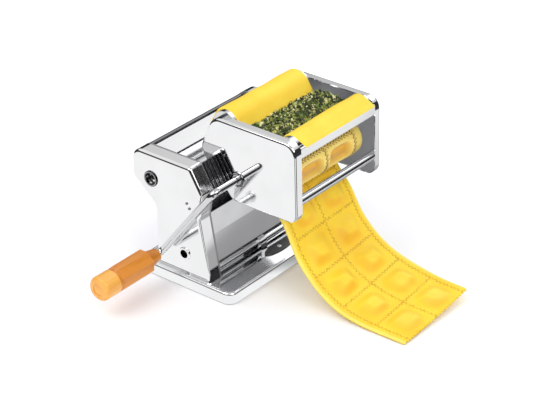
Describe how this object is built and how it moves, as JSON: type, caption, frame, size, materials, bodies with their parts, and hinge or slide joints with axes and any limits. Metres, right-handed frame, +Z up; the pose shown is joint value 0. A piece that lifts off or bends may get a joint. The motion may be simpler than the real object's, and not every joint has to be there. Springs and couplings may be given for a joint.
{
  "type": "ravioli maker with crank",
  "caption": "Hand cranked ravioli maker: a sheet roller machine on a base tray, with a ravioli attachment that slides on its front edge, dough, filling and a strip of ravioli.",
  "frame": {"origin": "centre of the base's flat underside, on the table", "axes": "+Z up, +X towards where the ravioli come out, -Y is the side with the crank"},
  "size_m": [0.2963, 0.2949, 0.1831],
  "materials": {
    "chrome": "mirror polished stainless sheet",
    "satin_steel": "fine brushed",
    "steel": "turned and ground",
    "dark_plastic": "moulded",
    "grey_plastic": "moulded",
    "brass": "turned",
    "cream_plastic": "moulded, glossy",
    "orange_handle": "stained and lacquered look",
    "amber_cap": "lighter, glossy",
    "dough": "soft dusted dough",
    "herb_filling": "chopped herbs and cheese",
    "ravioli_dough": "soft egg dough"
  },
  "bodies": {
    "machine": {"base_tray": "chrome", "base_floor": "grey_plastic", "base_screws": "steel", "near_side_cover": "chrome", "far_side_cover": "chrome", "crank_hole_ring": "chrome", "lower_hole_grommet": "chrome", "cover_rivets": "steel", "near_inner_frame": "satin_steel", "far_inner_frame": "satin_steel", "roller_bushes": "brass", "front_tie_rod": "steel", "rear_tie_rods": "steel", "tie_rod_nuts": "steel", "clamp_saddle": "chrome", "clamp_plate": "dark_plastic", "front_sheet": "chrome", "rear_sheet": "chrome", "dough_guide": "grey_plastic", "roller_scrapers": "grey_plastic", "ravioli_strip": "ravioli_dough"},
    "rear_roller": {"rear_smooth_roller": "satin_steel", "rear_smooth_gear": "steel"},
    "roller_blocks": {"bearing_blocks": "grey_plastic"},
    "front_roller": {"front_smooth_roller": "satin_steel", "front_smooth_gear": "steel"},
    "knob_spindle": {"knob_shaft": "steel"},
    "knob": {"thickness_knob": "dark_plastic"},
    "attachment": {"near_cap": "chrome", "far_cap": "chrome", "near_plate": "satin_steel", "far_plate": "satin_steel", "cap_rivets": "steel", "crank_bushing": "brass", "mould_bushes": "brass", "upper_front_bar": "chrome", "lower_front_rod": "steel", "lower_rear_rod": "steel", "rear_guide_bar": "steel", "front_guide_bar": "steel", "near_rail": "dark_plastic", "far_rail": "dark_plastic", "rear_dough_sheet": "dough", "front_dough_sheet": "dough", "filling": "herb_filling"},
    "rear_mould": {"rear_mould_roller": "cream_plastic", "rear_mould_shaft": "steel", "rear_mould_gear": "steel"},
    "front_mould": {"front_mould_roller": "cream_plastic", "front_mould_shaft": "steel", "front_mould_gear": "steel"},
    "crank": {"crank_rod": "steel", "handle_retainer": "steel"},
    "handle": {"handle_grip": "orange_handle", "handle_end_cap": "amber_cap"}
  },
  "joints": [
    {"name": "attachment_slide", "type": "slide", "parent": "machine", "child": "attachment", "axis": [-0.517, 0, 0.856], "range_m": [0, 0.03]},
    {"name": "rear_mould_spin", "type": "hinge", "parent": "attachment", "child": "rear_mould", "pos_m": [0.04302, 0, 0.12056], "axis": [0, -1, 0], "continuous": true},
    {"name": "front_mould_spin", "type": "hinge", "parent": "attachment", "child": "front_mould", "pos_m": [0.08058, 0, 0.12944], "axis": [0, -1, 0], "continuous": true},
    {"name": "crank_pull", "type": "slide", "parent": "rear_mould", "child": "crank", "axis": [0, -1, 0], "range_m": [0, 0.03]},
    {"name": "handle_spin", "type": "hinge", "parent": "crank", "child": "handle", "pos_m": [-0.02448, -0.145, 0.03296], "axis": [0, -1, 0], "continuous": true},
    {"name": "rear_roller_spin", "type": "hinge", "parent": "machine", "child": "rear_roller", "pos_m": [-0.043, 0, 0.104], "axis": [0, -1, 0], "continuous": true},
    {"name": "roller_gap", "type": "slide", "parent": "machine", "child": "roller_blocks", "axis": [1, 0, 0], "range_m": [0, 0.002]},
    {"name": "front_roller_spin", "type": "hinge", "parent": "roller_blocks", "child": "front_roller", "pos_m": [-0.014, 0, 0.104], "axis": [0, -1, 0], "continuous": true},
    {"name": "knob_pull", "type": "slide", "parent": "machine", "child": "knob_spindle", "axis": [0, 1, 0], "range_m": [0, 0.004], "stiffness_N_per_m": 400},
    {"name": "knob_turn", "type": "hinge", "parent": "knob_spindle", "child": "knob", "pos_m": [-0.014, 0.098, 0.072], "axis": [0, 1, 0], "range_deg": [0, 240]}
  ],
  "couplings": [
    {"joint": "front_mould_spin", "follows": "rear_mould_spin", "ratio": -1},
    {"joint": "front_roller_spin", "follows": "rear_roller_spin", "ratio": -1},
    {"joint": "knob_turn", "follows": "roller_gap", "rad_per_m": 2094.4}
  ]
}
